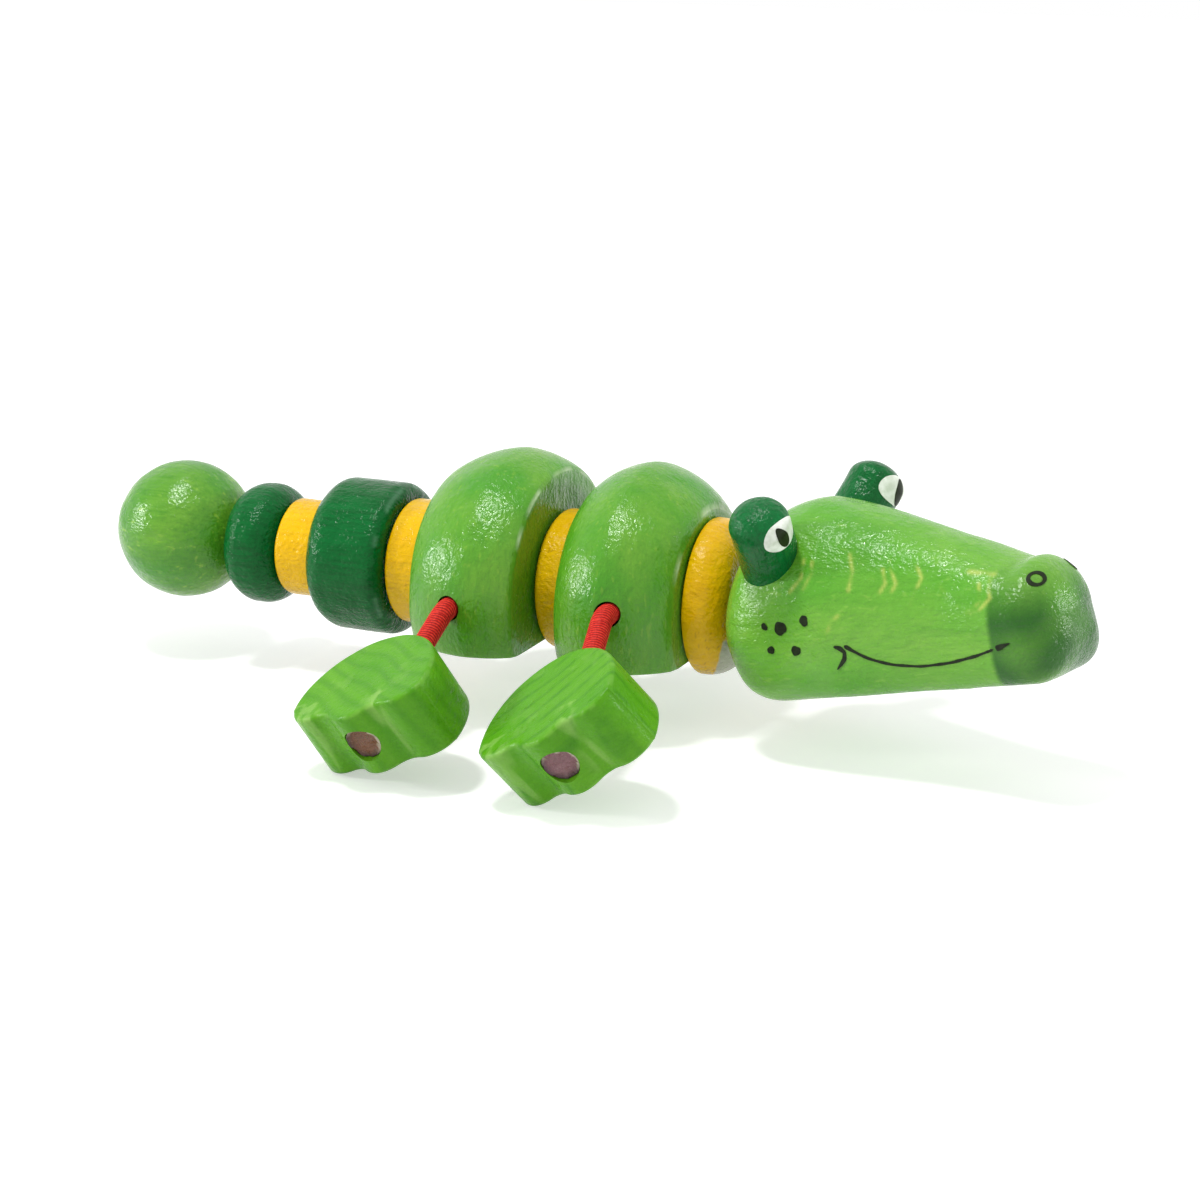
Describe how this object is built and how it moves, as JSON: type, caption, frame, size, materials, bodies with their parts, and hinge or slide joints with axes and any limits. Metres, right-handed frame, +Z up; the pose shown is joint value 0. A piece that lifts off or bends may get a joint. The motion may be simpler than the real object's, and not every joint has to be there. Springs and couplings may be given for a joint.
{
  "type": "wooden crocodile grasping rattle",
  "caption": "Crocodile grasping toy of painted wood: carved head, round-backed body blocks, turned rings and beads, paw feet on elastic cord that bends and turns at each piece.",
  "frame": {"origin": "under the middle of the toy's bounding box, on the surface that the feet stand on", "axes": "+X along the spine towards the head, +Y to the crocodile's left, +Z up"},
  "size_m": [0.178, 0.115, 0.0437],
  "materials": {
    "light_green_wood": "translucent light green stain under a satin lacquer, grain showing",
    "dark_green_wood": "dark green stain under a satin lacquer",
    "yellow_wood": "warm yellow stain under a satin lacquer",
    "toe_plug": "dull brown end grain set back in the toe",
    "elastic_cord": "red braided elastic with fine cross ribs"
  },
  "bodies": {
    "front_body": {"front_body": "light_green_wood", "spine_cord_front_body": "elastic_cord", "leg_root_front_right": "elastic_cord", "leg_root_front_left": "elastic_cord"},
    "neck_cord": {"spine_cord_neck_ring": "elastic_cord"},
    "neck_ring": {"neck_ring": "yellow_wood"},
    "head_cord": {"spine_cord_nook": "elastic_cord"},
    "head": {"head": "light_green_wood", "eye_peg_left": "dark_green_wood", "eye_peg_right": "dark_green_wood", "spine_cord_head": "elastic_cord"},
    "waist_cord": {"spine_cord_waist_ring": "elastic_cord"},
    "waist_ring": {"waist_ring": "yellow_wood"},
    "rear_cord": {"spine_cord_rear_body": "elastic_cord"},
    "rear_body": {"rear_body": "light_green_wood", "leg_root_rear_right": "elastic_cord", "leg_root_rear_left": "elastic_cord"},
    "tail_ring_cord": {"spine_cord_tail_ring": "elastic_cord"},
    "tail_ring_front": {"tail_ring_front": "yellow_wood"},
    "collar_cord": {"spine_cord_collar": "elastic_cord"},
    "tail_collar": {"tail_collar": "dark_green_wood"},
    "tail_cord": {"spine_cord_tail": "elastic_cord"},
    "tail_ring_rear": {"tail_ring_rear": "yellow_wood"},
    "tail_bead": {"tail_bead": "dark_green_wood"},
    "tail_ball": {"tail_ball": "light_green_wood"},
    "knuckle_front_right": {"leg_knuckle_front_right": "elastic_cord"},
    "leg_front_right": {"leg_cord_front_right": "elastic_cord"},
    "foot_front_right": {"foot_front_right": "light_green_wood", "toe_plug_front_right": "toe_plug"},
    "knuckle_front_left": {"leg_knuckle_front_left": "elastic_cord"},
    "leg_front_left": {"leg_cord_front_left": "elastic_cord"},
    "foot_front_left": {"foot_front_left": "light_green_wood", "toe_plug_front_left": "toe_plug"},
    "knuckle_rear_right": {"leg_knuckle_rear_right": "elastic_cord"},
    "leg_rear_right": {"leg_cord_rear_right": "elastic_cord"},
    "foot_rear_right": {"foot_rear_right": "light_green_wood", "toe_plug_rear_right": "toe_plug"},
    "knuckle_rear_left": {"leg_knuckle_rear_left": "elastic_cord"},
    "leg_rear_left": {"leg_cord_rear_left": "elastic_cord"},
    "foot_rear_left": {"foot_rear_left": "light_green_wood", "toe_plug_rear_left": "toe_plug"}
  },
  "joints": [
    {"name": "neck_bend", "type": "hinge", "parent": "front_body", "child": "neck_cord", "pos_m": [0.02268, 0.0129, 0.02161], "axis": [0, 0, 1], "range_deg": [0, 10], "stiffness_Nm_per_rad": 0.5, "springref_deg": -5.73},
    {"name": "neck_ring_spin", "type": "hinge", "parent": "neck_cord", "child": "neck_ring", "pos_m": [0.02568, 0, 0.02161], "axis": [1, 0, 0], "continuous": true},
    {"name": "head_turn", "type": "hinge", "parent": "neck_cord", "child": "head_cord", "pos_m": [0.02933, 0, 0.02161], "axis": [1, 0, 0], "range_deg": [-90, 90]},
    {"name": "head_tip", "type": "hinge", "parent": "head_cord", "child": "head", "pos_m": [0.02933, -0.00537, 0.02671], "axis": [0, -0.6886, -0.7251], "range_deg": [-17, 5], "deforming": ["spine_cord_nook"]},
    {"name": "waist_bend_left", "type": "hinge", "parent": "front_body", "child": "waist_cord", "pos_m": [0.00233, 0.0109, 0.02161], "axis": [0, 0, -1], "range_deg": [0, 2], "stiffness_Nm_per_rad": 0.5, "springref_deg": -5.73},
    {"name": "waist_ring_spin", "type": "hinge", "parent": "waist_cord", "child": "waist_ring", "pos_m": [-0.00067, 0, 0.02161], "axis": [1, 0, 0], "continuous": true},
    {"name": "waist_bend_right", "type": "hinge", "parent": "waist_cord", "child": "rear_cord", "pos_m": [-0.00382, -0.0109, 0.02161], "axis": [0, 0, 1], "range_deg": [0, 2], "stiffness_Nm_per_rad": 0.5, "springref_deg": -5.73},
    {"name": "rear_body_turn", "type": "hinge", "parent": "rear_cord", "child": "rear_body", "pos_m": [-0.00382, 0, 0.02161], "axis": [1, 0, 0], "range_deg": [-25, 25]},
    {"name": "tail_bend_left", "type": "hinge", "parent": "rear_cord", "child": "tail_ring_cord", "pos_m": [-0.02377, 0.0098, 0.02161], "axis": [0, 0, -1], "range_deg": [0, 10], "stiffness_Nm_per_rad": 0.5, "springref_deg": -5.73},
    {"name": "tail_ring_front_spin", "type": "hinge", "parent": "tail_ring_cord", "child": "tail_ring_front", "pos_m": [-0.02677, 0, 0.02161], "axis": [1, 0, 0], "continuous": true},
    {"name": "tail_lift", "type": "hinge", "parent": "tail_ring_cord", "child": "collar_cord", "pos_m": [-0.03212, 0, 0.03141], "axis": [0, 1, 0], "range_deg": [0, 10], "stiffness_Nm_per_rad": 0.5, "springref_deg": -5.73},
    {"name": "collar_spin", "type": "hinge", "parent": "collar_cord", "child": "tail_collar", "pos_m": [-0.03712, 0, 0.02161], "axis": [1, 0, 0], "continuous": true},
    {"name": "tail_bend_right", "type": "hinge", "parent": "collar_cord", "child": "tail_cord", "pos_m": [-0.04727, -0.0076, 0.02161], "axis": [0, 0, 1], "range_deg": [0, 10], "stiffness_Nm_per_rad": 0.5, "springref_deg": -5.73},
    {"name": "tail_ring_rear_spin", "type": "hinge", "parent": "tail_cord", "child": "tail_ring_rear", "pos_m": [-0.05027, 0, 0.02161], "axis": [1, 0, 0], "continuous": true},
    {"name": "tail_bead_spin", "type": "hinge", "parent": "tail_cord", "child": "tail_bead", "pos_m": [-0.06114, 0, 0.02161], "axis": [1, 0, 0], "continuous": true},
    {"name": "tail_ball_pull", "type": "slide", "parent": "tail_cord", "child": "tail_ball", "axis": [-1, 0, 0], "range_m": [0, 0.008], "stiffness_N_per_m": 150, "springref_m": -0.02},
    {"name": "front_right_leg_lift", "type": "hinge", "parent": "front_body", "child": "knuckle_front_right", "pos_m": [0.01406, -0.02356, 0.02311], "axis": [-0.9767, -0.2147, 0], "range_deg": [-25, 40], "stiffness_Nm_per_rad": 0.25},
    {"name": "front_right_leg_swing", "type": "hinge", "parent": "knuckle_front_right", "child": "leg_front_right", "pos_m": [0.01504, -0.02804, 0.02112], "axis": [0.0856, -0.3894, 0.9171], "range_deg": [0, 30], "stiffness_Nm_per_rad": 0.25},
    {"name": "front_right_foot_turn", "type": "hinge", "parent": "leg_front_right", "child": "foot_front_right", "pos_m": [0.01642, -0.03431, 0.01833], "axis": [0.1969, -0.8957, -0.3987], "range_deg": [-90, 90]},
    {"name": "front_left_leg_lift", "type": "hinge", "parent": "front_body", "child": "knuckle_front_left", "pos_m": [0.01406, 0.02356, 0.02311], "axis": [0.9767, -0.2147, 0], "range_deg": [-25, 40], "stiffness_Nm_per_rad": 0.25},
    {"name": "front_left_leg_swing", "type": "hinge", "parent": "knuckle_front_left", "child": "leg_front_left", "pos_m": [0.01504, 0.02804, 0.02112], "axis": [-0.0856, -0.3894, -0.9171], "range_deg": [0, 30], "stiffness_Nm_per_rad": 0.25},
    {"name": "front_left_foot_turn", "type": "hinge", "parent": "leg_front_left", "child": "foot_front_left", "pos_m": [0.01642, 0.03431, 0.01833], "axis": [0.1969, 0.8957, -0.3987], "range_deg": [-90, 90]},
    {"name": "rear_right_leg_lift", "type": "hinge", "parent": "rear_body", "child": "knuckle_rear_right", "pos_m": [-0.01374, -0.02375, 0.02101], "axis": [-0.9994, -0.0349, 0], "range_deg": [-25, 40], "stiffness_Nm_per_rad": 0.25},
    {"name": "rear_right_leg_swing", "type": "hinge", "parent": "knuckle_rear_right", "child": "leg_rear_right", "pos_m": [-0.01358, -0.02832, 0.01899], "axis": [0.0141, -0.4049, 0.9143], "range_deg": [-30, 0], "stiffness_Nm_per_rad": 0.25},
    {"name": "rear_right_foot_turn", "type": "hinge", "parent": "leg_rear_right", "child": "foot_rear_right", "pos_m": [-0.01336, -0.03471, 0.01615], "axis": [0.0319, -0.9137, -0.4051], "range_deg": [-90, 90]},
    {"name": "rear_left_leg_lift", "type": "hinge", "parent": "rear_body", "child": "knuckle_rear_left", "pos_m": [-0.01374, 0.02375, 0.02101], "axis": [0.9994, -0.0349, 0], "range_deg": [-25, 40], "stiffness_Nm_per_rad": 0.25},
    {"name": "rear_left_leg_swing", "type": "hinge", "parent": "knuckle_rear_left", "child": "leg_rear_left", "pos_m": [-0.01358, 0.02832, 0.01899], "axis": [-0.0141, -0.4049, -0.9143], "range_deg": [-30, 0], "stiffness_Nm_per_rad": 0.25},
    {"name": "rear_left_foot_turn", "type": "hinge", "parent": "leg_rear_left", "child": "foot_rear_left", "pos_m": [-0.01336, 0.03471, 0.01615], "axis": [0.0319, 0.9137, -0.4051], "range_deg": [-90, 90]}
  ]
}
